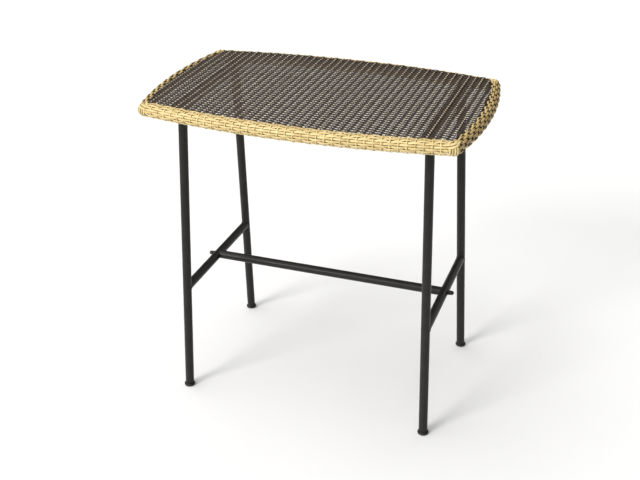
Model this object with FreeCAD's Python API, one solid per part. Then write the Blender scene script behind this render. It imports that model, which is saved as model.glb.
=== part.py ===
import FreeCAD, Part
import math
import os
from FreeCAD import Vector as V

os.makedirs("parts", exist_ok=True)

# ---------------------------------------------------------------- dimensions
# All in millimetres. +X runs along the table's length, +Y to its back, +Z up.
# The floor is z = 0 and the table is centred on the Z axis.

TOP_H = 914.0            # crown of the rim above the floor
RIM_R = 19.3             # outside radius of the woven rim roll
TUBE_R = 12.7            # 25.4 mm steel tube, used for rim, legs and stretchers
TUBE_WALL = 1.5
WRAP_GAP = 0.05          # between the tube and the weave around it

RIM_CX = 424.3           # rim centre-line corner, half length
RIM_CY = 236.4           # rim centre-line corner, half depth
BOW_LONG = 39.8          # bow of the front and back edges
BOW_SHORT = 27.6         # bow of the left and right edges
CORNER_ARM = 16.0        # length of a wrapped corner along each edge
CORNER_ROOM_R = 15.3     # round room in a wrapped corner, clear of the mitred tubes' tips

FIELD_IN = 8.0           # field edge, inboard of the rim centre-line
FIELD_TOP = 912.0
FIELD_T = 5.0

FOOT_X, FOOT_Y = 371.4, 234.7      # leg axis at the floor
HEAD_X, HEAD_Y, HEAD_Z = 347.2, 173.3, 864.0   # leg axis near the top
LEG_END = 12.8           # lower end of the leg tube, along its axis

RAIL_W, RAIL_H, RAIL_WALL = 30.0, 20.0, 1.5
PLATE_L, PLATE_T = 70.0, 4.0
BOLT_PITCH = 48.0        # two bolts per leg plate, across the leg
BOLT_R = 3.0             # M6
BOLT_HOLE_R = 3.3
HEX6 = 10.0              # across flats
HEX6_HEAD = 4.0
NUT6_H = 5.0

SIDE_Z = 337.0           # side stretcher axis, in line with the leg axes at this height
COPE = 3.0               # the coped ends stop this far short of the leg axis
LONG_Z = 337.0           # long stretcher axis
STUD_R = 4.0                       # M8
STUD_HOLE_R = 4.4
PLUG_L = 26.0
SADDLE_R = 7.2
SADDLE_T = 1.8           # at the tube's outermost line
CAP_AF = 13.0            # cap nut, across flats
CAP_HEX_H = 6.5
CAP_H = 14.6

GLIDE_R = 16.0
DOME_R = 40.0
DOME_TOP = 10.3
INSERT_FLANGE = 2.0
INSERT_L = 22.0
INSERT_HOLE_R = STUD_R + 0.1
GLIDE_STUD_FROM, GLIDE_STUD_TO = 4.0, 33.0

RIM_Z = TOP_H - RIM_R
RAIL_Z0 = RIM_Z - RAIL_H / 2.0
RAIL_Z1 = RIM_Z + RAIL_H / 2.0
PLATE_Z0 = RAIL_Z0 - PLATE_T
Z = V(0, 0, 1)


# ---------------------------------------------------------------- helpers
def save(name, shape):
    """Write one node, a closed solid or a group of separate solids."""
    solids = shape.Solids
    out = solids[0] if len(solids) == 1 else Part.makeCompound(solids)
    vol = sum(s.Volume for s in solids)
    print("%-26s solids %2d valid %s volume %.1f" % (name, len(solids), out.isValid(), vol))
    out.exportStep("parts/%s.step" % name)


def mirror_x(s):
    return s.mirror(V(0, 0, 0), V(1, 0, 0))


def mirror_y(s):
    return s.mirror(V(0, 0, 0), V(0, 1, 0))


def arc_pipe(cx, cy, rad, a0, a1, r_out, r_in=None):
    """Round bar or tube along a level arc, exact torus segment."""
    p = V(cx + rad * math.cos(a0), cy + rad * math.sin(a0), RIM_Z)
    t = V(-math.sin(a0), math.cos(a0), 0)
    outer = Part.Wire(Part.makeCircle(r_out, p, t))
    face = Part.Face(outer)
    if r_in:
        face = face.cut(Part.Face(Part.Wire(Part.makeCircle(r_in, p, t)))).Faces[0]
    s = face.revolve(V(cx, cy, 0), Z, math.degrees(a1 - a0))
    return s if s.ShapeType == "Solid" else s.Solids[0]


def block_beyond(point, direction, size=260.0):
    """A block that starts at a plane and lies on the side direction points to."""
    b = Part.makeBox(size, size, size, V(0, -size / 2.0, -size / 2.0))
    b.Placement = FreeCAD.Placement(point, FreeCAD.Rotation(V(1, 0, 0), direction))
    return b


def hex_prism(af, h, base, axis):
    r = af / math.sqrt(3.0)
    pts = [V(r * math.cos(math.radians(60 * i)), r * math.sin(math.radians(60 * i)), 0) for i in range(7)]
    s = Part.Face(Part.makePolygon(pts)).extrude(V(0, 0, h))
    s.Placement = FreeCAD.Placement(base, FreeCAD.Rotation(Z, axis))
    return s


def nearest(shape, point):
    """The solid of a cut result that lies closest to a point."""
    v = Part.Vertex(point)
    return min(shape.Solids, key=lambda s: s.distToShape(v)[0])


# ---------------------------------------------------------------- rim curves
R_LONG = (RIM_CX ** 2 + BOW_LONG ** 2) / (2 * BOW_LONG)
CY_LONG = -(RIM_CY + BOW_LONG) + R_LONG          # centre of the front edge's arc
A_LONG = math.asin(RIM_CX / R_LONG)              # half angle of the front arc
R_SHORT = (RIM_CY ** 2 + BOW_SHORT ** 2) / (2 * BOW_SHORT)
CX_SHORT = (RIM_CX + BOW_SHORT) - R_SHORT        # centre of the right edge's arc
A_SHORT = math.asin(RIM_CY / R_SHORT)

FRONT0, FRONT1 = -math.pi / 2 - A_LONG, -math.pi / 2 + A_LONG
RIGHT0, RIGHT1 = -A_SHORT, A_SHORT

corner = V(RIM_CX, -RIM_CY, RIM_Z)               # front right corner
t_front = V(-math.cos(A_LONG), -math.sin(A_LONG), 0)   # along the front edge, from the corner
t_right = V(math.sin(A_SHORT), math.cos(A_SHORT), 0)   # along the right edge, from the corner
n_mitre = (t_front - t_right).normalize()        # points to the front edge's side

# ---------------------------------------------------------------- field plate
def meet(c0, r0, c1, r1, near):
    """Where two circles meet, the point near a given one."""
    dx, dy = c1[0] - c0[0], c1[1] - c0[1]
    d = math.hypot(dx, dy)
    a = (r0 * r0 - r1 * r1 + d * d) / (2 * d)
    h = math.sqrt(r0 * r0 - a * a)
    mx, my = c0[0] + a * dx / d, c0[1] + a * dy / d
    best = [(mx + h * dy / d, my - h * dx / d), (mx - h * dy / d, my + h * dx / d)]
    return min(best, key=lambda q: math.hypot(q[0] - near[0], q[1] - near[1]))


def field_solid(inset, z0, z1):
    fx, fy = meet((0, CY_LONG), R_LONG - inset, (CX_SHORT, 0), R_SHORT - inset, (RIM_CX, -RIM_CY))
    ym = CY_LONG - (R_LONG - inset)
    xm = CX_SHORT + (R_SHORT - inset)
    edges = [
        Part.Arc(V(-fx, fy, z0), V(0, ym, z0), V(fx, fy, z0)).toShape(),
        Part.Arc(V(fx, fy, z0), V(xm, 0, z0), V(fx, -fy, z0)).toShape(),
        Part.Arc(V(fx, -fy, z0), V(0, -ym, z0), V(-fx, -fy, z0)).toShape(),
        Part.Arc(V(-fx, -fy, z0), V(-xm, 0, z0), V(-fx, fy, z0)).toShape(),
    ]
    return Part.Face(Part.Wire(edges)).extrude(V(0, 0, z1 - z0))


field = field_solid(FIELD_IN, FIELD_TOP - FIELD_T, FIELD_TOP)
field_room = field_solid(FIELD_IN, FIELD_TOP - FIELD_T, TOP_H + 5)
save("woven_field", field)

# ---------------------------------------------------------------- rim tubes
OVER = 0.020       # the arcs run past the corners by this much before the mitre cut
beyond_front = block_beyond(corner, n_mitre * -1)
beyond_right = block_beyond(corner, n_mitre)
OVER_S = OVER * R_LONG / R_SHORT


def front_bar(r_out, r_in=None):
    s = arc_pipe(0, CY_LONG, R_LONG, FRONT0 - OVER, FRONT1 + OVER, r_out, r_in)
    return s.cut(beyond_front).cut(mirror_x(beyond_front)).Solids[0]


def right_bar(r_out, r_in=None):
    s = arc_pipe(CX_SHORT, 0, R_SHORT, RIGHT0 - OVER_S, RIGHT1 + OVER_S, r_out, r_in)
    return s.cut(beyond_right).cut(mirror_y(beyond_right)).Solids[0]


rim_front = front_bar(TUBE_R, TUBE_R - TUBE_WALL)
rim_right = right_bar(TUBE_R, TUBE_R - TUBE_WALL)

core_front = front_bar(TUBE_R + WRAP_GAP)
core_right = right_bar(TUBE_R + WRAP_GAP)
core_back = mirror_y(core_front)

# ---------------------------------------------------------------- legs' geometry
foot = V(FOOT_X, FOOT_Y, 0)
leg_dir = (V(HEAD_X, HEAD_Y, HEAD_Z) - foot).normalize()
to_plate = PLATE_Z0 / leg_dir.z
plate_at = foot + leg_dir * to_plate              # leg axis at the plate's lower face


def leg_bar(r, s0, s1):
    return Part.makeCylinder(r, s1 - s0, foot + leg_dir * s0, leg_dir)


# ---------------------------------------------------------------- cross rails
rx = plate_at.x
ry = RIM_CY + BOW_LONG
rail = Part.makeBox(RAIL_W, 2 * ry, RAIL_H, V(rx - RAIL_W / 2, -ry, RAIL_Z0))
rail_solid = nearest(rail.cut(core_front).cut(core_back), V(rx, 0, RIM_Z))
hollow = Part.makeBox(RAIL_W - 2 * RAIL_WALL, 2 * ry + 2, RAIL_H - 2 * RAIL_WALL,
                      V(rx - RAIL_W / 2 + RAIL_WALL, -ry - 1, RAIL_Z0 + RAIL_WALL))
rail_tube = nearest(rail_solid.cut(hollow), V(rx - RAIL_W / 2, 0, RIM_Z))

bolt_ys = []
for sy in (-1, 1):
    for k in (-0.5, 0.5):
        bolt_ys.append(sy * plate_at.y + k * BOLT_PITCH)
for y in bolt_ys:
    rail_tube = rail_tube.cut(Part.makeCylinder(BOLT_HOLE_R, RAIL_WALL + 2, V(rx, y, RAIL_Z0 - 1), Z))
save("cross_rail_right", rail_tube)
save("cross_rail_left", mirror_x(rail_tube))

# ---------------------------------------------------------------- border wraps
arm_l = CORNER_ARM / R_LONG
arm_s = CORNER_ARM / R_SHORT
band_front = arc_pipe(0, CY_LONG, R_LONG, FRONT0 + arm_l, FRONT1 - arm_l, RIM_R, TUBE_R + WRAP_GAP)
band_right = arc_pipe(CX_SHORT, 0, R_SHORT, RIGHT0 + arm_s, RIGHT1 - arm_s, RIM_R, TUBE_R + WRAP_GAP)
rail_room = Part.makeBox(RAIL_W + 0.1, 2 * ry, RAIL_H + 0.1, V(rx - RAIL_W / 2 - 0.05, -ry, RAIL_Z0 - 0.05))
rail_room = nearest(rail_room.cut(core_front).cut(core_back), V(rx, 0, RIM_Z))
band_front = band_front.cut(field_room).cut(rail_room).cut(mirror_x(rail_room)).Solids[0]
band_right = band_right.cut(field_room).Solids[0]
save("border_wrap_front", band_front)
save("border_wrap_back", mirror_y(band_front))
save("border_wrap_right", band_right)
save("border_wrap_left", mirror_x(band_right))

# corner wrap: two short sleeves that meet in a ball, with a round room inside for the mitred tubes
R_ARM = RIM_R - 0.4
arm_f = arc_pipe(0, CY_LONG, R_LONG, FRONT1 - arm_l, FRONT1, R_ARM)
arm_r = arc_pipe(CX_SHORT, 0, R_SHORT, RIGHT0, RIGHT0 + arm_s, R_ARM)
inward = (t_front + t_right).normalize()
ball = Part.makeSphere(RIM_R, corner, inward)
ball_room = Part.makeSphere(CORNER_ROOM_R, corner, inward)
bar_f = arc_pipe(0, CY_LONG, R_LONG, FRONT1 - arm_l - 0.02, FRONT1 - 0.002, TUBE_R + WRAP_GAP)
bar_r = arc_pipe(CX_SHORT, 0, R_SHORT, RIGHT0 + 0.004, RIGHT0 + arm_s + 0.02, TUBE_R + WRAP_GAP)
corner_wrap = arm_f.fuse(ball).fuse(arm_r).cut(field_room).cut(ball_room).cut(bar_f).cut(bar_r)
corner_wrap = max(corner_wrap.Solids, key=lambda s: s.Volume)
save("corner_wrap_front_right", corner_wrap)
save("corner_wrap_front_left", mirror_x(corner_wrap))
save("corner_wrap_back_right", mirror_y(corner_wrap))
save("corner_wrap_back_left", mirror_x(mirror_y(corner_wrap)))

save("rim_tube_front", rim_front)
save("rim_tube_back", mirror_y(rim_front))
save("rim_tube_right", rim_right)
save("rim_tube_left", mirror_x(rim_right))

# ---------------------------------------------------------------- legs and plates
above = Part.makeBox(400, 400, 200, V(plate_at.x - 200, plate_at.y - 200, PLATE_Z0))
leg_solid = leg_bar(TUBE_R, LEG_END, to_plate + 30).cut(above).Solids[0]
leg = leg_solid.cut(leg_bar(TUBE_R - TUBE_WALL, LEG_END - 5, to_plate + 40)).Solids[0]

plate = Part.makeBox(RAIL_W, PLATE_L, PLATE_T, V(rx - RAIL_W / 2, plate_at.y - PLATE_L / 2, PLATE_Z0))
plate = plate.makeFillet(5.0, [e for e in plate.Edges
                               if abs(e.Vertexes[0].X - e.Vertexes[1].X) < 1e-6
                               and abs(e.Vertexes[0].Y - e.Vertexes[1].Y) < 1e-6])
for k in (-0.5, 0.5):
    plate = plate.cut(Part.makeCylinder(BOLT_HOLE_R, PLATE_T + 2, V(rx, plate_at.y + k * BOLT_PITCH, PLATE_Z0 - 1), Z))

bolts, nuts = [], []
for y in bolt_ys:
    for sx in (-1, 1):
        p = V(sx * rx, y, PLATE_Z0)
        head = hex_prism(HEX6, HEX6_HEAD, p - Z * HEX6_HEAD, Z)
        shank = Part.makeCylinder(BOLT_R - 0.05, PLATE_T + RAIL_WALL + NUT6_H + 1.5, p, Z)
        bolts.append(head.fuse(shank).removeSplitter().Solids[0])
        q = V(sx * rx, y, RAIL_Z0 + RAIL_WALL)
        nuts.append(hex_prism(HEX6, NUT6_H, q, Z).cut(Part.makeCylinder(BOLT_R, NUT6_H + 2, q - Z, Z)).Solids[0])

# ---------------------------------------------------------------- stretchers
side_at = foot + leg_dir * (SIDE_Z / leg_dir.z)   # leg axis at the stretcher's height
SIDE_X = side_at.x
side_half = side_at.y - COPE
both_legs = [leg_solid, mirror_y(leg_solid)]
side_full = Part.makeCylinder(TUBE_R, 2 * side_half, V(SIDE_X, -side_half, SIDE_Z), V(0, 1, 0))
side_solid = nearest(side_full.cut(both_legs[0]).cut(both_legs[1]), V(SIDE_X, 0, SIDE_Z))
side = side_solid.cut(Part.makeCylinder(TUBE_R - TUBE_WALL, 520, V(SIDE_X, -260, SIDE_Z), V(0, 1, 0)))
side = nearest(side, V(SIDE_X + TUBE_R, 0, SIDE_Z))
side = side.cut(Part.makeCylinder(STUD_HOLE_R, 60, V(SIDE_X - 30, 0, LONG_Z), V(1, 0, 0))).Solids[0]

long_full = Part.makeCylinder(TUBE_R, 2 * SIDE_X, V(-SIDE_X, 0, LONG_Z), V(1, 0, 0))
long_solid = nearest(long_full.cut(side_full).cut(mirror_x(side_full)), V(0, 0, LONG_Z))
long_tube = long_solid.cut(Part.makeCylinder(TUBE_R - TUBE_WALL, 2 * SIDE_X + 20, V(-SIDE_X - 10, 0, LONG_Z), V(1, 0, 0)))
long_tube = nearest(long_tube, V(0, 0, LONG_Z + TUBE_R))

plug_end = SIDE_X - TUBE_R - 1.5
plug = Part.makeCylinder(TUBE_R - TUBE_WALL - 0.05, PLUG_L, V(plug_end - PLUG_L, 0, LONG_Z), V(1, 0, 0))
plug = plug.cut(Part.makeCylinder(STUD_R, PLUG_L + 2, V(plug_end - PLUG_L - 1, 0, LONG_Z), V(1, 0, 0))).Solids[0]

seat_x = SIDE_X + TUBE_R + SADDLE_T               # flat outer face of the saddle washer
saddle = Part.makeCylinder(SADDLE_R, 12, V(seat_x - 12, 0, LONG_Z), V(1, 0, 0)).cut(side_full)
saddle = nearest(saddle, V(seat_x, 0, LONG_Z))
saddle = saddle.cut(Part.makeCylinder(STUD_HOLE_R, 60, V(seat_x - 30, 0, LONG_Z), V(1, 0, 0))).Solids[0]

cap_hex = hex_prism(CAP_AF, CAP_HEX_H, V(seat_x, 0, LONG_Z), V(1, 0, 0))
dome_r = 6.2
neck = CAP_H - dome_r
prof = [
    Part.makeLine(V(0, 0, 0), V(dome_r, 0, 0)),
    Part.makeLine(V(dome_r, 0, 0), V(dome_r, 0, neck)),
    Part.Arc(V(dome_r, 0, neck), V(dome_r * math.sin(math.pi / 4), 0, neck + dome_r * math.cos(math.pi / 4)), V(0, 0, CAP_H)).toShape(),
    Part.makeLine(V(0, 0, CAP_H), V(0, 0, 0)),
]
dome = Part.Face(Part.Wire(prof)).revolve(V(0, 0, 0), Z, 360)
if dome.ShapeType != "Solid":
    dome = dome.Solids[0]
dome.Placement = FreeCAD.Placement(V(seat_x, 0, LONG_Z), FreeCAD.Rotation(Z, V(1, 0, 0)))
chamfer_cone = Part.makeCone(CAP_AF / math.sqrt(3.0) + 3.4, CAP_AF / math.sqrt(3.0) - 1.2, CAP_HEX_H,
                             V(seat_x, 0, LONG_Z), V(1, 0, 0))
cap = cap_hex.common(chamfer_cone).fuse(dome).removeSplitter()
cap = cap.cut(Part.makeCylinder(STUD_R, 10.5, V(seat_x - 1, 0, LONG_Z), V(1, 0, 0))).Solids[0]
stud_from = plug_end - PLUG_L + 4
stud = Part.makeCylinder(STUD_R - 0.05, seat_x + 8.0 - stud_from, V(stud_from, 0, LONG_Z), V(1, 0, 0))

# ---------------------------------------------------------------- foot glides
# pad: flat under, rounded edge, domed top, turned about the upright line at the foot
def dome_z(r):
    return DOME_TOP - DOME_R + math.sqrt(DOME_R ** 2 - r * r)


pf = [
    Part.makeLine(V(0, 0, 0), V(12.4, 0, 0)),
    Part.Arc(V(12.4, 0, 0), V(14.95, 0, 1.15), V(GLIDE_R, 0, 4.0)).toShape(),
    Part.makeLine(V(GLIDE_R, 0, 4.0), V(GLIDE_R, 0, 5.2)),
    Part.Arc(V(GLIDE_R, 0, 5.2), V(15.45, 0, 6.75), V(14.1, 0, dome_z(14.1))).toShape(),
    Part.Arc(V(14.1, 0, dome_z(14.1)), V(7.2, 0, dome_z(7.2)), V(0, 0, DOME_TOP)).toShape(),
    Part.makeLine(V(0, 0, DOME_TOP), V(0, 0, 0)),
]
pad = Part.Face(Part.Wire(pf)).revolve(V(0, 0, 0), Z, 360)
if pad.ShapeType != "Solid":
    pad = pad.Solids[0]
pad.translate(foot)
glide_stud = leg_bar(STUD_R, GLIDE_STUD_FROM, GLIDE_STUD_TO)
pad = pad.cut(glide_stud).Solids[0]

flange_s = LEG_END - INSERT_FLANGE
insert = leg_bar(TUBE_R, flange_s, LEG_END).fuse(leg_bar(TUBE_R - TUBE_WALL - 0.05, LEG_END, LEG_END + INSERT_L))
insert = insert.removeSplitter().cut(leg_bar(INSERT_HOLE_R, flange_s - 2, LEG_END + INSERT_L + 2)).Solids[0]

# ---------------------------------------------------------------- write the rest
for tag, place in (
    ("back_right", lambda s: s),
    ("back_left", mirror_x),
    ("front_right", mirror_y),
    ("front_left", lambda s: mirror_x(mirror_y(s))),
):
    save("leg_" + tag, place(leg))
    save("leg_plate_" + tag, place(plate))
    save("leg_insert_" + tag, place(insert))
    save("foot_glide_" + tag, place(pad))
    save("glide_stud_" + tag, place(glide_stud))

for tag, place in (("right", lambda s: s), ("left", mirror_x)):
    save("side_stretcher_" + tag, place(side))
    save("stretcher_plug_" + tag, place(plug))
    save("stretcher_stud_" + tag, place(stud))
    save("saddle_washer_" + tag, place(saddle))
    save("cap_nut_" + tag, place(cap))

save("long_stretcher", long_tube)
save("leg_plate_bolts", Part.makeCompound(bolts))
save("rail_weld_nuts", Part.makeCompound(nuts))
print("leg axis", [round(c, 6) for c in leg_dir], "plate at", [round(c, 2) for c in plate_at])
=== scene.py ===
import math

import bpy
import numpy as np
from mathutils import Matrix, Vector


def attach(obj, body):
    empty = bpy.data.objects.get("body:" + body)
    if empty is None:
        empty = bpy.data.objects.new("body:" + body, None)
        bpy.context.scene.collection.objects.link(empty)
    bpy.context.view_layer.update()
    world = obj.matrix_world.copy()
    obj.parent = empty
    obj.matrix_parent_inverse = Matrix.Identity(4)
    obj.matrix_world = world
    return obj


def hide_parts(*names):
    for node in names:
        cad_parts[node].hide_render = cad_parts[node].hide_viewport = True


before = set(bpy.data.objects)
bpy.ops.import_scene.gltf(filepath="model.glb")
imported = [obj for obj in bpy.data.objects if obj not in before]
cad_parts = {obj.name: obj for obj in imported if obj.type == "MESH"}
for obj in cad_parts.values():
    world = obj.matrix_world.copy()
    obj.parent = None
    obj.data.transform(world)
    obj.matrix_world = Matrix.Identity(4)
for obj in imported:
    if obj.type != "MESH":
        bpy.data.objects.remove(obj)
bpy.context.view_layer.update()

# ---------------------------------------------------------------- dimensions
# Metres, in the part's frame: +X along the table, +Y to its back, +Z up.
TOP_H = 0.914
RIM_R = 0.0193
TUBE_R = 0.0127
RIM_CX, RIM_CY = 0.4243, 0.2364          # rim centre-line corner
BOW_LONG, BOW_SHORT = 0.0398, 0.0276
CORNER_ARM = 0.016
RIM_Z = TOP_H - RIM_R

R_LONG = (RIM_CX ** 2 + BOW_LONG ** 2) / (2 * BOW_LONG)
CY_LONG = -(RIM_CY + BOW_LONG) + R_LONG
A_LONG = math.asin(RIM_CX / R_LONG)
R_SHORT = (RIM_CY ** 2 + BOW_SHORT ** 2) / (2 * BOW_SHORT)
CX_SHORT = (RIM_CX + BOW_SHORT) - R_SHORT
A_SHORT = math.asin(RIM_CY / R_SHORT)

FOOT = np.array([0.3714, 0.2347, 0.0])
LEG_DIR = np.array([-0.027928, -0.070858, 0.997095])
SIDE_Z = 0.337
PLATE_Z0 = 0.8807

# the open field: stakes run front to back, weavers run left to right
N_STAKE = 43
PITCH = 0.020647                         # from stake to stake along the table
ROW = 0.0068
FIELD_Z = 0.9107
STAKE_W, STAKE_T = 0.0045, 0.0022
WEAVER_W, WEAVER_T = 0.0053, 0.0029
STAKE_A, WEAVER_A = 0.0012, 0.00155
SIDE_IN = 0.0050                         # weaver ends, inboard of the side rim's centre-line
CROWN_R = 0.0152                         # strands lie at this radius where they go over the front and back rims

# the rolled border: ribbons run along the rim, stakes run round it
ROW_STEP = math.radians(23.4)
# inner counts the last rows of a border, which face the field's underside and are made brown: painted shade.
LONG_ROWS = dict(first=math.radians(18.0), count=13, inner=2, turn=0.0, clear=0.012, mid=0.0170, wave=0.0015, width=0.0062, thick=0.0015,
                 stake_w=0.0046, stake_t=0.0019, stake_wave=0.00065, power=2.6)
SIDE_ROWS = dict(first=math.radians(-21.0), count=14, inner=0, turn=0.46, clear=0.008, mid=0.0161, wave=0.0021, width=0.0062, thick=0.0019,
                 stake_w=0.0042, stake_t=0.0020, stake_wave=0.0001, power=2.3)
N_SIDE = 23                              # stakes along each side border
FLAT_ROWS = 2                            # more rows of the front border, woven flat inside its rim
CORNER_ROWS = 3                          # ribbons that run on over the crown of a corner

rng = np.random.default_rng(20)


# ---------------------------------------------------------------- strands
def unit(v):
    return v / np.maximum(np.linalg.norm(v, axis=-1, keepdims=True), 1e-12)


class Weave:
    """Gathers strands, each a closed bar of rounded flat section, into one mesh."""

    def __init__(self, name):
        self.name = name
        self.co, self.where, self.rnd = [], [], []
        self.quads, self.quad_uv, self.caps, self.cap_uv = [], [], [], []
        self.n_vert = 0
        self.n_strand = 0

    def add(self, path, up, width, thick, sides=8, power=2.5, rnd=0.5, crown=0.0):
        """path and up are n by 3; width and thick are numbers or n long. crown bends the section over."""
        p = np.asarray(path, float)
        n = len(p)
        t = unit(np.gradient(p, axis=0))
        u = np.asarray(up, float)
        u = unit(u - (u * t).sum(1, keepdims=True) * t)
        s = np.cross(t, u)
        th = 2 * math.pi * (np.arange(sides) + 0.5) / sides
        c, d = np.cos(th), np.sin(th)
        a = 0.5 * np.sign(c) * np.abs(c) ** (2 / power)
        b = 0.5 * np.sign(d) * np.abs(d) ** (2 / power)
        w = np.broadcast_to(np.asarray(width, float), (n,))[:, None] * a[None]
        h = np.broadcast_to(np.asarray(thick, float), (n,))[:, None] * b[None]
        lift = h - crown * w ** 2
        v = p[:, None] + s[:, None] * w[:, :, None] + u[:, None] * lift[:, :, None]
        along = np.concatenate([[0], np.cumsum(np.linalg.norm(np.diff(p, axis=0), axis=1))])
        where = np.stack([np.broadcast_to(along[:, None], w.shape), w, h], -1)
        i, j = np.meshgrid(np.arange(n - 1), np.arange(sides), indexing="ij")
        jn = (j + 1) % sides
        quad = np.stack([i * sides + j, (i + 1) * sides + j, (i + 1) * sides + jn, i * sides + jn], -1)
        self.quads.append(quad.reshape(-1, 4) + self.n_vert)
        fu = 0.004 + 0.992 * along / along[-1]
        f0, f1 = fu[i], fu[i + 1]
        g0, g1 = j / sides, (j + 1) / sides
        uv = np.stack([np.stack([f0, g0], -1), np.stack([f1, g0], -1), np.stack([f1, g1], -1), np.stack([f0, g1], -1)], -2)
        uv[..., 1] = self.n_strand + 0.04 + 0.92 * uv[..., 1]
        self.quad_uv.append(uv.reshape(-1, 4, 2))
        ring = np.arange(sides) + self.n_vert
        self.caps.append(ring)
        self.caps.append((ring + (n - 1) * sides)[::-1])
        for at, turn in ((0.0016, 1), (0.9984, -1)):
            cu = np.stack([at + 0.0012 * c[::turn], self.n_strand + 0.5 + 0.4 * d[::turn]], -1)
            self.cap_uv.append(cu)
        self.co.append(v.reshape(-1, 3))
        self.where.append(where.reshape(-1, 3))
        self.rnd.append(np.full(n * sides, rnd))
        self.n_vert += n * sides
        self.n_strand += 1

    def build(self, material):
        co = np.concatenate(self.co)
        quads = np.concatenate(self.quads)
        caps = self.caps
        me = bpy.data.meshes.new(self.name)
        loops = np.concatenate([quads.ravel()] + caps)
        sizes = np.concatenate([np.full(len(quads), 4), [len(c) for c in caps]])
        starts = np.concatenate([[0], np.cumsum(sizes)[:-1]])
        me.vertices.add(len(co))
        me.vertices.foreach_set("co", co.astype(np.float32).ravel())
        me.loops.add(len(loops))
        me.loops.foreach_set("vertex_index", loops.astype(np.int32))
        me.polygons.add(len(sizes))
        me.polygons.foreach_set("loop_start", starts.astype(np.int32))
        uv = np.concatenate([np.concatenate(self.quad_uv).reshape(-1, 2)] + self.cap_uv)
        uv[:, 1] /= self.n_strand
        smooth = np.concatenate([np.ones(len(quads), bool), np.zeros(len(caps), bool)])
        me.update(calc_edges=True)
        me.polygons.foreach_set("use_smooth", smooth)
        layer = me.uv_layers.new(name="OFBake")
        layer.data.foreach_set("uv", uv.astype(np.float32).ravel())
        at = me.attributes.new("strand_at", "FLOAT_VECTOR", "POINT")
        at.data.foreach_set("vector", np.concatenate(self.where).astype(np.float32).ravel())
        rd = me.attributes.new("strand_rnd", "FLOAT", "POINT")
        rd.data.foreach_set("value", np.concatenate(self.rnd).astype(np.float32))
        me.validate()
        ob = bpy.data.objects.new(self.name, me)
        bpy.context.scene.collection.objects.link(ob)
        me.materials.append(material)
        return ob


def wander(n, step, size):
    """A slow random drift along a strand, n points long."""
    k = max(3, int(n / step) + 3)
    knots = rng.normal(0, 1, k)
    x = np.linspace(0, k - 1.001, n)
    i = x.astype(int)
    f = x - i
    f = f * f * (3 - 2 * f)
    return size * (knots[i] * (1 - f) + knots[np.minimum(i + 1, k - 1)] * f)


# ---------------------------------------------------------------- materials
def nodes_of(name):
    m = bpy.data.materials.new(name)
    m.use_nodes = True
    nt = m.node_tree
    nt.nodes.clear()
    out = nt.nodes.new("ShaderNodeOutputMaterial")
    sh = nt.nodes.new("ShaderNodeBsdfPrincipled")
    nt.links.new(sh.outputs["BSDF"], out.inputs["Surface"])
    return m, nt, sh


def ramp(nt, stops, fac):
    r = nt.nodes.new("ShaderNodeValToRGB")
    while len(r.color_ramp.elements) < len(stops):
        r.color_ramp.elements.new(0.5)
    for e, (pos, col) in zip(r.color_ramp.elements, stops):
        e.position = pos
        e.color = (*col, 1) if len(col) == 3 else col
    nt.links.new(fac, r.inputs["Fac"])
    return r


def noise(nt, vector, scale, detail=3.0, rough=0.55):
    t = nt.nodes.new("ShaderNodeTexNoise")
    t.inputs["Scale"].default_value = scale
    t.inputs["Detail"].default_value = detail
    t.inputs["Roughness"].default_value = rough
    if vector is not None:
        nt.links.new(vector, t.inputs["Vector"])
    return t


def math_node(nt, op, a, b):
    m = nt.nodes.new("ShaderNodeMath")
    m.operation = op
    for i, x in enumerate((a, b)):
        if isinstance(x, (int, float)):
            m.inputs[i].default_value = x
        else:
            nt.links.new(x, m.inputs[i])
    return m.outputs[0]


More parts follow.
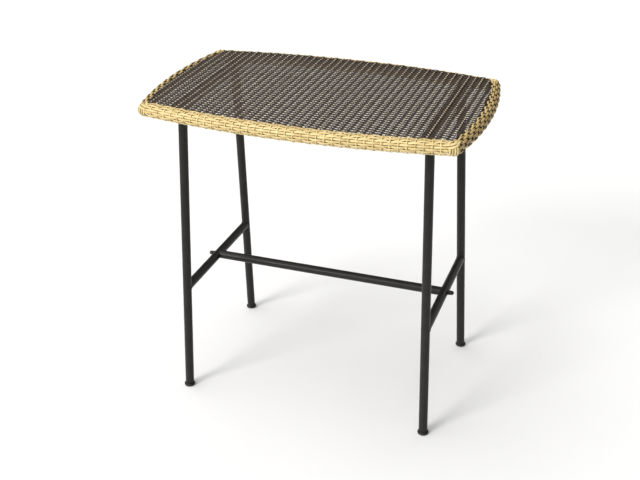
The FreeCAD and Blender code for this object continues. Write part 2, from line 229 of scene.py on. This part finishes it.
def strand_material(name, dark, mid, light, rough, fibre=900.0, bump=0.25, spec=0.5, coat=0.0):
    """Split cane: fine fibres along the strand, slow changes of tone, each strand its own shade."""
    m, nt, sh = nodes_of(name)
    at = nt.nodes.new("ShaderNodeAttribute")
    at.attribute_name = "strand_at"
    rd = nt.nodes.new("ShaderNodeAttribute")
    rd.attribute_name = "strand_rnd"
    # fibre coordinates: long along the strand, fine across it, shifted per strand
    sep = nt.nodes.new("ShaderNodeSeparateXYZ")
    nt.links.new(at.outputs["Vector"], sep.inputs[0])
    shift = math_node(nt, "MULTIPLY", rd.outputs["Fac"], 37.0)
    com = nt.nodes.new("ShaderNodeCombineXYZ")
    nt.links.new(math_node(nt, "ADD", math_node(nt, "MULTIPLY", sep.outputs["X"], 14.0), shift), com.inputs["X"])
    nt.links.new(math_node(nt, "MULTIPLY", sep.outputs["Y"], fibre), com.inputs["Y"])
    nt.links.new(math_node(nt, "MULTIPLY", sep.outputs["Z"], fibre), com.inputs["Z"])
    fib = noise(nt, com.outputs[0], 1.0, 4.0, 0.6)
    com2 = nt.nodes.new("ShaderNodeCombineXYZ")
    nt.links.new(math_node(nt, "ADD", math_node(nt, "MULTIPLY", sep.outputs["X"], 22.0), shift), com2.inputs["X"])
    nt.links.new(math_node(nt, "MULTIPLY", rd.outputs["Fac"], 91.0), com2.inputs["Y"])
    slow = noise(nt, com2.outputs[0], 1.0, 2.0, 0.5)
    tone = math_node(nt, "ADD", math_node(nt, "MULTIPLY", fib.outputs["Fac"], 0.42),
                     math_node(nt, "MULTIPLY", slow.outputs["Fac"], 0.38))
    tone = math_node(nt, "ADD", tone, math_node(nt, "MULTIPLY", rd.outputs["Fac"], 0.20))
    r = ramp(nt, [(0.30, dark), (0.50, mid), (0.72, light)], tone)
    nt.links.new(r.outputs["Color"], sh.inputs["Base Color"])
    rr = ramp(nt, [(0.25, (rough + 0.12,) * 3), (0.8, (rough - 0.08,) * 3)], fib.outputs["Fac"])
    nt.links.new(rr.outputs["Color"], sh.inputs["Roughness"])
    sh.inputs["Specular IOR Level"].default_value = spec
    sh.inputs["Coat Weight"].default_value = coat
    sh.inputs["Coat Roughness"].default_value = 0.28
    b = nt.nodes.new("ShaderNodeBump")
    b.inputs["Strength"].default_value = bump
    b.inputs["Distance"].default_value = 0.00025
    nt.links.new(fib.outputs["Fac"], b.inputs["Height"])
    nt.links.new(b.outputs["Normal"], sh.inputs["Normal"])
    return m


def solid_material(name, low, high, rough, rough_var, scale, grain, bump, metallic=0.0, spec=0.5, coat=0.0):
    """Paint, plastic or plated steel: two-tone mottle, uneven gloss and a fine surface texture."""
    m, nt, sh = nodes_of(name)
    tc = nt.nodes.new("ShaderNodeTexCoord")
    big = noise(nt, tc.outputs["Object"], scale, 4.0, 0.6)
    fine = noise(nt, tc.outputs["Object"], grain, 2.0, 0.5)
    r = ramp(nt, [(0.32, low), (0.68, high)], big.outputs["Fac"])
    nt.links.new(r.outputs["Color"], sh.inputs["Base Color"])
    rr = ramp(nt, [(0.3, (rough - rough_var,) * 3), (0.7, (rough + rough_var,) * 3)], big.outputs["Fac"])
    nt.links.new(rr.outputs["Color"], sh.inputs["Roughness"])
    sh.inputs["Metallic"].default_value = metallic
    sh.inputs["Specular IOR Level"].default_value = spec
    sh.inputs["Coat Weight"].default_value = coat
    sh.inputs["Coat Roughness"].default_value = 0.3
    b = nt.nodes.new("ShaderNodeBump")
    b.inputs["Strength"].default_value = bump
    b.inputs["Distance"].default_value = 0.0003
    nt.links.new(fine.outputs["Fac"], b.inputs["Height"])
    nt.links.new(b.outputs["Normal"], sh.inputs["Normal"])
    return m


STRAW = strand_material("straw_strand", (0.42, 0.290, 0.106), (0.63, 0.480, 0.206), (0.78, 0.632, 0.320), 0.44)
# A darker copy of the straw for the side borders and the side halves of the corners: painted shade, since those faces
# turn away from the key light.
SHADED_STRAW = strand_material("shaded_straw_strand", (0.33, 0.218, 0.078), (0.49, 0.358, 0.148), (0.62, 0.482, 0.238), 0.44)
# The field's stakes: a pale, greyish straw. Their lightness is partly their own tone and partly a painted highlight for
# the sheen their tops catch between the weavers.
PALE_HIGHLIGHT_STRAW = strand_material("pale_straw_highlight_strand", (0.43, 0.368, 0.262), (0.59, 0.512, 0.388), (0.71, 0.632, 0.505), 0.40)
BROWN = strand_material("brown_strand", (0.013, 0.0068, 0.0026), (0.025, 0.0140, 0.0057), (0.043, 0.0255, 0.0115), 0.32, spec=0.36)
BLACK = solid_material("black_powder_coat", (0.0140, 0.0132, 0.0116), (0.0205, 0.0195, 0.0174), 0.38, 0.05, 38.0, 1500.0, 0.15, spec=0.20)
PLASTIC = solid_material("black_moulded_plastic", (0.010, 0.010, 0.010), (0.017, 0.017, 0.017), 0.52, 0.06, 90.0, 2600.0, 0.20, spec=0.35)
ZINC = solid_material("zinc_plate", (0.42, 0.42, 0.40), (0.60, 0.60, 0.57), 0.34, 0.08, 160.0, 3000.0, 0.15, metallic=1.0)


# ---------------------------------------------------------------- woven field
def side_x(y, inset):
    """Half length of the top at depth y, inset from the rim centre-line."""
    return CX_SHORT + np.sqrt((R_SHORT - inset) ** 2 - np.asarray(y) ** 2)


def front_y(x, inset):
    """Half depth of the top at length x."""
    return np.sqrt((R_LONG - inset) ** 2 - np.asarray(x) ** 2) - CY_LONG


def over_rim(x, y, z):
    """Lets a strand down at the front rim, or over the back rim, past its crown."""
    d = np.asarray(y)
    past = np.hypot(x, np.abs(d) + CY_LONG) - R_LONG            # outboard of the rim centre-line
    fall = np.sqrt(np.maximum(CROWN_R ** 2 - np.maximum(past, 0) ** 2, 0)) - CROWN_R
    g = np.where(d < 0, np.clip((past + 0.0130) / 0.0032, 0, 1), 0)    # at the front it dips under the flat rows
    return z + fall - 0.0024 * g * g * (3 - 2 * g)


def field():
    half = float(front_y(0.0, 0.0))
    n_row = int(2 * half / ROW)
    y0 = -0.5 * (n_row - 1) * ROW
    wide = rng.normal(1.0, 0.03, N_STAKE)
    off = rng.normal(0.0, 0.00030, N_STAKE)
    stakes = Weave("field_stakes")
    for j in range(N_STAKE):
        xj = (j - 0.5 * (N_STAKE - 1)) * PITCH
        side = (R_SHORT - SIDE_IN) ** 2 - (abs(xj) - CX_SHORT) ** 2     # the outer ones end under the side borders
        front, back = (min(float(front_y(xj, inset)), math.sqrt(side)) for inset in (0.0085, -0.0045))
        n = max(8, int(round((front + back) / (ROW / 3))))
        y = np.linspace(-front, back, n)
        x = xj + off[j] + wander(n, 40, 0.00025)
        z = FIELD_Z - STAKE_A * (-1) ** j * np.cos(math.pi * (y - y0) / ROW)
        z = over_rim(x, y, z)
        up = np.tile([0.0, 0.0, 1.0], (n, 1))
        stakes.add(np.stack([x, y, z], 1), up, STAKE_W * wide[j], STAKE_T, 8, 2.4, rng.random())
    # a weaver bends sharply over and under each stake and runs straight between them
    bends = np.array([-0.36, -0.22, -0.11, -0.045, 0.045, 0.11, 0.22, 0.36])
    thirds = [Weave("field_weavers_front"), Weave("field_weavers_middle"), Weave("field_weavers_back")]
    for k in range(n_row):
        yk = y0 + k * ROW
        end = float(side_x(min(abs(yk), 0.24), SIDE_IN))
        far = (R_LONG + (0.0035 if yk > 0 else -0.0095)) ** 2 - (abs(yk) + CY_LONG) ** 2
        short = math.sqrt(max(far, 0.0))
        dive = end <= short
        end = min(end, short)
        if end < 0.02:
            continue
        q = (np.arange(-1, N_STAKE + 1)[:, None] + bends[None]).ravel()
        x = (q - 0.5 * (N_STAKE - 1)) * PITCH
        x = np.concatenate([[-end], x[np.abs(x) < end - 0.0005], [end]])
        n = len(x)
        q = x / PITCH + 0.5 * (N_STAKE - 1)
        bent = np.arcsin(0.985 * np.cos(math.pi * (q + k))) / math.asin(0.985)
        z = FIELD_Z + WEAVER_A * bent * (1.0 + wander(n, 60, 0.04))
        if dive:                                                 # ends tuck under the side borders
            z = z - 0.0020 * np.clip(1 - (end - np.abs(x)) / 0.006, 0, 1) ** 2
        y = yk + wander(n, 24, 0.00022)
        z = over_rim(x, y, z)
        up = np.tile([0.0, 0.0, 1.0], (n, 1))
        w = WEAVER_W * (1 + wander(n, 40, 0.03)) * rng.normal(1.0, 0.02)
        thirds[min(2, 3 * k // n_row)].add(np.stack([x, y, z], 1), up, w, WEAVER_T, 8, 2.2, rng.random())
    made = []
    for w in [stakes] + thirds:
        # the stakes take the pale straw, which is partly a painted highlight
        ob = w.build(PALE_HIGHLIGHT_STRAW if w is stakes else BROWN)
        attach(ob, "table")
        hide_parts("woven_field")
        made.append(ob)
    return made


# ---------------------------------------------------------------- rolled border
class Run:
    """One edge of the rim: s is the distance along its centre-line, phi goes round the roll from the crown outwards."""

    def __init__(self, centre, radius, a0, a1):
        self.c, self.r, self.a0, self.a1 = np.array(centre), radius, a0, a1
        self.length = radius * (a1 - a0)

    def at(self, s, phi, r):
        s, phi, r = np.broadcast_arrays(np.asarray(s, float), np.asarray(phi, float), np.asarray(r, float))
        on = np.clip(s, 0.0, self.length)             # past an end the path turns round the corner
        a = self.a0 + on / self.r
        rim = self.c + self.r * np.stack([np.cos(a), np.sin(a)], -1)
        a = a + (s - on) / np.maximum(r * np.sin(phi), 0.004)
        out = np.stack([np.cos(a), np.sin(a)], -1)
        p = np.concatenate([rim + out * (r * np.sin(phi))[..., None], (RIM_Z + r * np.cos(phi))[..., None]], -1)
        nrm = np.concatenate([out * np.sin(phi)[..., None], np.cos(phi)[..., None]], -1)
        return p, nrm


FRONT = Run((0.0, CY_LONG), R_LONG, -math.pi / 2 - A_LONG, -math.pi / 2 + A_LONG)
BACK = Run((0.0, -CY_LONG), R_LONG, math.pi / 2 - A_LONG, math.pi / 2 + A_LONG)
RIGHT = Run((CX_SHORT, 0.0), R_SHORT, -A_SHORT, A_SHORT)
LEFT = Run((-CX_SHORT, 0.0), R_SHORT, math.pi - A_SHORT, math.pi + A_SHORT)


def long_turns(s):
    """Counts the field's stakes along the front or back edge: whole numbers fall on stakes."""
    return R_LONG * np.sin(np.asarray(s) / R_LONG - A_LONG) / PITCH + 0.5 * (N_STAKE - 1)


def side_turns(s):
    return np.asarray(s) * N_SIDE / RIGHT.length - 0.5


def long_posts():
    x = (np.arange(N_STAKE) - 0.5 * (N_STAKE - 1)) * PITCH
    return [(j, R_LONG * (math.asin(v / R_LONG) + A_LONG)) for j, v in enumerate(x) if abs(v) < RIM_CX - 0.010]


def side_posts():
    return [(j, (j + 0.5) * RIGHT.length / N_SIDE) for j in range(N_SIDE)]


def border(name, run, node, k, turns, posts, ribbon_material, stake_material, stake_slot, flat=0):
    ribbons, stakes, inner = Weave(name + "_ribbons"), Weave(name + "_stakes"), Weave(name + "_shaded_inner")
    turn_in = k["first"] + (k["count"] - k["inner"] - 0.5) * ROW_STEP      # past this the roll faces the field's underside
    for i in range(-flat, k["count"]):
        phi = k["first"] + i * ROW_STEP * (0.93 if i < 0 else 1.0)      # the flat rows lie closer together
        a = 0.0105 if i >= 0 else 0.0020 - 0.0040 * i                   # a flat row ends under the ribbon that crosses the corner
        if i >= CORNER_ROWS and k["turn"] and math.sin(phi) > 0.2:      # goes on round the corner's outside
            a = -k["turn"] * k["mid"] * math.sin(phi)
        b = run.length - a
        n = int(round((b - a) / 0.0024))
        s = np.linspace(a, b, n)
        tuck = np.clip(1 - (np.minimum(s - a, b - s)) / 0.006, 0, 1) ** 2
        mid, wave = k["mid"], k["wave"]
        if i < 0:                         # a flat row keeps level with the crown
            mid, wave = (mid + 0.0001) / max(math.cos(phi), 0.85), 0.0010
        r = mid + wave * np.cos(math.pi * (turns(s) + i)) * (1 + wander(n, 70, 0.05))
        if i >= CORNER_ROWS or i < 0:     # the ends go under the corner's winding
            r = r * (1 - tuck) + 0.0150 * tuck
        p, nrm = run.at(s, phi + wander(n, 30, 0.012), r)
        if i < 0:
            nrm = np.tile([0.0, 0.0, 1.0], (n, 1))
        wd = k["width"] * rng.normal(1.0, 0.02) * (1 + wander(n, 30, 0.03))
        # rows past turn_in go into the brown weave: painted shade where the roll lies under the field
        to = inner if phi > turn_in else ribbons
        to.add(p, nrm, wd, k["thick"], 8, k["power"], rng.random(), crown=18.0)
    first, last = k["first"] - flat * ROW_STEP - 0.20, k["first"] + (k["count"] - 1) * ROW_STEP + 0.20
    n = int((k["count"] + flat) * 8)
    phi = np.linspace(first, last, n)
    for j, s in posts:
        if not k["clear"] < s < run.length - k["clear"]:
            continue
        mid = np.where((phi < 0) & (flat > 0), (k["mid"] + 0.0001) / np.maximum(np.cos(phi), 0.85), k["mid"])
        r = mid - k["stake_wave"] * np.cos(math.pi * (j + (phi - k["first"]) / ROW_STEP))
        p, nrm = run.at(s + wander(n, 30, 0.00025), phi, r)
        w, tone = k["stake_w"] * rng.normal(1.0, 0.03), rng.random()
        # a stake turns brown past turn_in: painted shade under the field
        cut = int(np.searchsorted(phi, turn_in))
        stakes.add(p[:cut], nrm[:cut], w, k["stake_t"], 8, 2.6, tone)
        if cut < n - 2:
            inner.add(p[cut - 1:], nrm[cut - 1:], w, k["stake_t"], 8, 2.6, tone)
    for w, m, slot in ((ribbons, ribbon_material, "rattan_straw"), (stakes, stake_material, stake_slot), (inner, BROWN, "rattan_brown")):
        if not w.n_strand:
            continue
        ob = w.build(m)
        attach(ob, "table")
        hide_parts(node)


def corner(name, node, mx, my):
    """A wrapped corner, made for the front right one and mirrored by mx, my."""
    w, shaded_side_weave = Weave(name), Weave(name + "_side")
    c = np.array([RIM_CX, -RIM_CY])
    t_f = np.array([-math.cos(A_LONG), -math.sin(A_LONG)])     # from the corner along the front
    t_r = np.array([math.sin(A_SHORT), math.cos(A_SHORT)])     # from the corner along the right side
    o_f = np.array([math.sin(A_LONG), -math.cos(A_LONG)])      # outward from the front
    o_r = np.array([math.cos(A_SHORT), -math.sin(A_SHORT)])
    inward = (t_f + t_r) / np.linalg.norm(t_f + t_r)
    half_in = math.acos(float(inward @ t_f))
    a_f, a_r = math.atan2(o_f[1], o_f[0]), math.atan2(o_r[1], o_r[0])
    flip = np.array([mx, my, 1.0])
    odd = mx * my < 0

    def put(to, p, up, *args, **kw):
        p, up = p * flip, up * flip
        if odd:
            p, up = p[::-1], up[::-1]
        to.add(p, up, *args, **kw)

    def onto_roll(p, r):
        """Moves points to distance r from the rim's centre-line; returns them with the way out."""
        rel = p[:, :2] - c
        s_f, s_r = np.maximum(rel @ t_f, 0), np.maximum(rel @ t_r, 0)
        foot_f, foot_r = c + s_f[:, None] * t_f, c + s_r[:, None] * t_r
        d_f = np.linalg.norm(p[:, :2] - foot_f, axis=1)
        d_r = np.linalg.norm(p[:, :2] - foot_r, axis=1)
        foot = np.where((d_f < d_r)[:, None], foot_f, foot_r)
        out = unit(np.concatenate([p[:, :2] - foot, (p[:, 2] - RIM_Z)[:, None]], 1))
        base = np.concatenate([foot, np.full((len(p), 1), RIM_Z)], 1)
        return base + out * np.broadcast_to(r, (len(p),))[:, None], out

    # ribbons that run on over the crown, from the front edge round to the side
    reach = 0.0150
    m = 30
    f = np.linspace(0, 1, m)
    ease = f * f * (3 - 2 * f)
    hump = np.sin(math.pi * f) ** 0.5
    for i in range(CORNER_ROWS):
        f_f, f_r = LONG_ROWS["first"] + i * ROW_STEP, SIDE_ROWS["first"] + i * ROW_STEP
        r_f = LONG_ROWS["mid"] + LONG_ROWS["wave"] * math.cos(math.pi * (float(long_turns(FRONT.length - reach)) + i))
        r_r = SIDE_ROWS["mid"] + SIDE_ROWS["wave"] * math.cos(math.pi * (float(side_turns(reach)) + i))
        r = (r_f * (1 - f) + r_r * f) * (1 - hump) + 0.0182 * hump
        if i == 0:                        # crosses the crown on its way
            side_f, side_r = r_f * math.sin(f_f), r_r * math.sin(f_r)
            start = np.append(c + t_f * reach + o_f * side_f, RIM_Z + r_f * math.cos(f_f))
            end = np.append(c + t_r * reach + o_r * side_r, RIM_Z + r_r * math.cos(f_r))
            bend = c + np.linalg.solve(np.stack([o_f, o_r]), np.array([side_f, side_r]))
            bend = np.append(bend, RIM_Z + 0.0182)
            g = f[:, None]
            p, out = onto_roll((1 - g) ** 2 * start + 2 * g * (1 - g) * bend + g ** 2 * end, r)
        else:                             # stays on the outside: along one arm, round the ball, along the other
            phi = f_f + (f_r - f_f) * ease
            turn = 0.0182 * abs(math.sin(0.5 * (f_f + f_r))) * abs(a_r - a_f)
            s = f * (2 * reach + turn)
            a = a_f + (a_r - a_f) * np.clip((s - reach) / turn, 0, 1)
            d = np.stack([np.cos(a), np.sin(a)], 1)
            arm = np.maximum(reach - s, 0)[:, None] * t_f + np.maximum(s - reach - turn, 0)[:, None] * t_r
            p = np.concatenate([c + arm + d * (r * np.sin(phi))[:, None], (RIM_Z + r * np.cos(phi))[:, None]], 1)
            out = np.concatenate([d * np.sin(phi)[:, None], np.cos(phi)[:, None]], 1)
        put(w, p, out, 0.0062, 0.0016, 8, 2.5, rng.random(), crown=18.0)
    # a lower ribbon fills the place where the first two part on the turn
    f_f, f_r = LONG_ROWS["first"] + 0.5 * ROW_STEP, SIDE_ROWS["first"] + 0.5 * ROW_STEP
    phi = f_f + (f_r - f_f) * ease
    turn = 0.0165 * abs(math.sin(0.5 * (f_f + f_r))) * abs(a_r - a_f)
    s = f * (2 * reach + turn)
    a = a_f + (a_r - a_f) * np.clip((s - reach) / turn, 0, 1)
    d = np.stack([np.cos(a), np.sin(a)], 1)
    arm = np.maximum(reach - s, 0)[:, None] * t_f + np.maximum(s - reach - turn, 0)[:, None] * t_r
    p = np.concatenate([c + arm + d * (0.0165 * np.sin(phi))[:, None], (RIM_Z + 0.0165 * np.cos(phi))[:, None]], 1)
    put(w, p, np.concatenate([d * np.sin(phi)[:, None], np.cos(phi)[:, None]], 1), 0.0062, 0.0016, 8, 2.5, rng.random(), crown=18.0)
    # strands wound round the roll: a fan on the turn and two on each arm
    n = 72
    top_f = LONG_ROWS["first"] + (CORNER_ROWS - 0.85) * ROW_STEP
    top_r = SIDE_ROWS["first"] + (CORNER_ROWS - 0.85) * ROW_STEP
    bottom = math.radians(295.0)
    low_from = math.radians(168.0)
    r = 0.0180 - 0.0014 * np.clip(1 - np.arange(n) / 7.0, 0, 1)       # the upper ends tuck under
    fans = 3
    for k in range(fans):
        f = (k + 0.5) / fans
        a = a_f + (a_r - a_f) * f
        d = np.array([math.cos(a), math.sin(a)])
        phi = np.linspace(top_f * (1 - f) + top_r * f, bottom, n)
        sn, cs = np.sin(phi), np.cos(phi)
        bunch = (f - 0.5) * 0.012
        along = (t_r if bunch > 0 else t_f) * abs(bunch)
        outer = c + d * (r * np.maximum(sn, 0))[:, None]
        inner = inward * (r * np.maximum(-sn, 0) / math.sin(half_in))[:, None] + along * np.clip(-sn, 0, 1)[:, None]
        p = np.concatenate([outer + inner, (RIM_Z + r * cs)[:, None]], 1)
        dn = np.where(sn[:, None] > 0, d, -inward)
        up = np.concatenate([dn * sn[:, None], cs[:, None]], 1)
        width = 0.0022 + 0.0034 * np.clip(np.abs(sn), 0, 1)
        if f > 0.6:                       # here the side's ribbons lie on the outside
            low = phi > low_from
            p, up, width = p[low], up[low], width[low]
        # the side half of the fan takes the darker straw copy: painted shade
        put(shaded_side_weave if f > 0.6 else w, p, up, width, 0.0019, 8, 2.3, rng.random(), crown=18.0)
    for t, o, top in ((t_f, o_f, top_f), (t_r, o_r, top_r)):
        for k in range(2):
            s = 0.0034 + 0.0066 * k
            phi = np.linspace(top, bottom, n)
            sn, cs = np.sin(phi), np.cos(phi)
            flat = c + t * s + o * (r * sn)[:, None]
            keep = -(r * sn) < s * math.tan(half_in) + 0.0005     # past this the other edge's strands begin
            if t is t_r:
                keep &= phi > low_from
            p = np.concatenate([flat, (RIM_Z + r * cs)[:, None]], 1)
            up = np.concatenate([np.broadcast_to(o, (n, 2)) * sn[:, None], cs[:, None]], 1)
            for g in np.split(np.arange(n), np.where(np.diff(keep.astype(int)) != 0)[0] + 1):
                if keep[g[0]] and len(g) > 5:
                    put(w if t is t_f else shaded_side_weave, p[g], up[g], 0.0053, 0.0019, 8, 2.3, rng.random(), crown=18.0)
    # the side-half strands get the darker straw copy, which paints the shade on the corner's side
    for v, m in ((w, STRAW), (shaded_side_weave, SHADED_STRAW)):
        ob = v.build(m)
        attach(ob, "table")
        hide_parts(node)


# ---------------------------------------------------------------- weld beads
def bead(w, path, out, size):
    n = len(path)
    d = np.concatenate([[0], np.cumsum(np.linalg.norm(np.diff(path, axis=0), axis=1))])
    ripple = 1.0 + 0.16 * np.abs(np.sin(math.pi * d / 0.0021)) + wander(n, 9, 0.05)
    w.add(path, out, size * ripple, size * 0.8 * ripple, 8, 2.0, rng.random())


def welds():
    w = Weave("weld_beads")
    at = FOOT + LEG_DIR * (SIDE_Z / LEG_DIR[2])
    for sx in (1, -1):
        for sy in (1, -1):
            flip = np.array([sx, sy, 1.0])
            # round the coped end of a side stretcher
            psi = np.linspace(0, 2 * math.pi, 97)[:-1]
            psi = np.concatenate([psi, psi[:3]])
            x, z = at[0] + TUBE_R * np.cos(psi), SIDE_Z + TUBE_R * np.sin(psi)
            axis_y = FOOT[1] + LEG_DIR[1] / LEG_DIR[2] * z
            axis_x = FOOT[0] + LEG_DIR[0] / LEG_DIR[2] * z
            dx = np.clip((x - axis_x) / TUBE_R, -0.97, 0.97)
            y = axis_y - TUBE_R * np.sqrt(1 - dx ** 2)
            p = np.stack([x, y, z], 1)
            out = np.stack([np.cos(psi), -np.sqrt(1 - dx ** 2) * 0.8, np.sin(psi)], 1)
            bead(w, p * flip, unit(out) * flip, 0.0034)
            # round the leg under its plate
            top = FOOT + LEG_DIR * (PLATE_Z0 / LEG_DIR[2])
            p = np.stack([top[0] + TUBE_R * np.cos(psi), top[1] + TUBE_R * np.sin(psi), np.full(len(psi), PLATE_Z0 - 0.0006)], 1)
            out = np.stack([np.cos(psi), np.sin(psi), np.full(len(psi), -0.6)], 1)
            bead(w, p * flip, unit(out) * flip, 0.0032)
    ob = w.build(BLACK)
    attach(ob, "table")
    return ob


field()
border("border_front", FRONT, "border_wrap_front", LONG_ROWS, long_turns, long_posts(), STRAW, STRAW, "rattan_straw", FLAT_ROWS)
border("border_back", BACK, "border_wrap_back", LONG_ROWS, long_turns, long_posts(), STRAW, STRAW, "rattan_straw")
# the side borders take the darker straw copy: painted shade
border("border_right", RIGHT, "border_wrap_right", SIDE_ROWS, side_turns, side_posts(), SHADED_STRAW, BROWN, "rattan_brown")
border("border_left", LEFT, "border_wrap_left", SIDE_ROWS, side_turns, side_posts(), SHADED_STRAW, BROWN, "rattan_brown")
corner("corner_front_right", "corner_wrap_front_right", 1, 1)
corner("corner_front_left", "corner_wrap_front_left", -1, 1)
corner("corner_back_right", "corner_wrap_back_right", 1, -1)
corner("corner_back_left", "corner_wrap_back_left", -1, -1)
welds()

# ---------------------------------------------------------------- CAD pieces
PLASTIC_NODES = ("foot_glide", "leg_insert")
ZINC_NODES = ("rail_weld_nuts", "stretcher_stud", "stretcher_plug", "glide_stud", "leg_plate_bolts")
for name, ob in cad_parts.items():
    m = PLASTIC if name.startswith(PLASTIC_NODES) else ZINC if name.startswith(ZINC_NODES) else BLACK
    ob.data.materials.clear()
    ob.data.materials.append(m)

# ---------------------------------------------------------------- floor, light, camera
scene = bpy.context.scene
scene.view_settings.view_transform = "Standard"

me = bpy.data.meshes.new("floor")
me.from_pydata([(-9, -9, 0), (9, -9, 0), (9, 9, 0), (-9, 9, 0)], [], [(0, 1, 2, 3)])
floor = bpy.data.objects.new("floor", me)
scene.collection.objects.link(floor)
m, nt, sh = nodes_of("pale_floor")
tc = nt.nodes.new("ShaderNodeTexCoord")
nz = noise(nt, tc.outputs["Object"], 1.4, 2.0, 0.5)
r = ramp(nt, [(0.3, (0.725, 0.725, 0.72)), (0.7, (0.745, 0.745, 0.74))], nz.outputs["Fac"])
nt.links.new(r.outputs["Color"], sh.inputs["Base Color"])
sh.inputs["Roughness"].default_value = 0.85
sh.inputs["Specular IOR Level"].default_value = 0.2
me.materials.append(m)

world = bpy.data.worlds.new("studio")
scene.world = world
world.use_nodes = True
bg = world.node_tree.nodes["Background"]
bg.inputs["Color"].default_value = (1.0, 1.0, 1.0, 1)
wt = world.node_tree                     # brighter from the left than from the right
side = wt.nodes.new("ShaderNodeTexCoord")
part = wt.nodes.new("ShaderNodeSeparateXYZ")
fall = wt.nodes.new("ShaderNodeMapRange")
fall.interpolation_type = "SMOOTHSTEP"
fall.inputs["From Min"].default_value = -0.5
fall.inputs["From Max"].default_value = 0.9
fall.inputs["To Min"].default_value = 0.62
fall.inputs["To Max"].default_value = 0.10
wt.links.new(side.outputs["Generated"], part.inputs["Vector"])
wt.links.new(part.outputs["X"], fall.inputs["Value"])
wt.links.new(fall.outputs["Result"], bg.inputs["Strength"])
world.cycles_visibility.glossy = False   # only the lamps and the floor show in gloss


def sun(name, come_from, angle, strength, color=(1, 1, 1)):
    d = bpy.data.lights.new(name, "SUN")
    d.angle = math.radians(angle)
    d.energy = strength
    d.color = color
    o = bpy.data.objects.new(name, d)
    o.rotation_euler = (-Vector(come_from)).to_track_quat("-Z", "Y").to_euler()
    scene.collection.objects.link(o)


sun("overhead", (-0.40, -0.15, 1.0), 75.0, 2.33)
sun("key", (-1.60, -2.55, 1.65), 22.0, 2.25, (1.0, 0.985, 0.96))
sun("fill_back", (0.40, 0.834, 0.38), 30.0, 0.25)

cam = bpy.data.cameras.new("camera")
cam.sensor_fit = "HORIZONTAL"
cam.sensor_width = 36.0
cam.lens = 1004.52 * 36.0 / 640.0
cam.shift_x = (320.0 - 360.49) / 640.0
cam.shift_y = (239.37 - 240.0) / 640.0
cam.clip_end = 60.0
co = bpy.data.objects.new("camera", cam)
right = Vector((0.949615, 0.313418, 0.0))
up = Vector((-0.149751, 0.453715, 0.878474))
fwd = Vector((-0.275328, 0.834213, -0.477790))
rot = Matrix((right, up, -fwd)).transposed()
co.matrix_world = Matrix.Translation((0.91416, -2.45265, 1.87161)) @ rot.to_4x4()
scene.collection.objects.link(co)
scene.camera = co
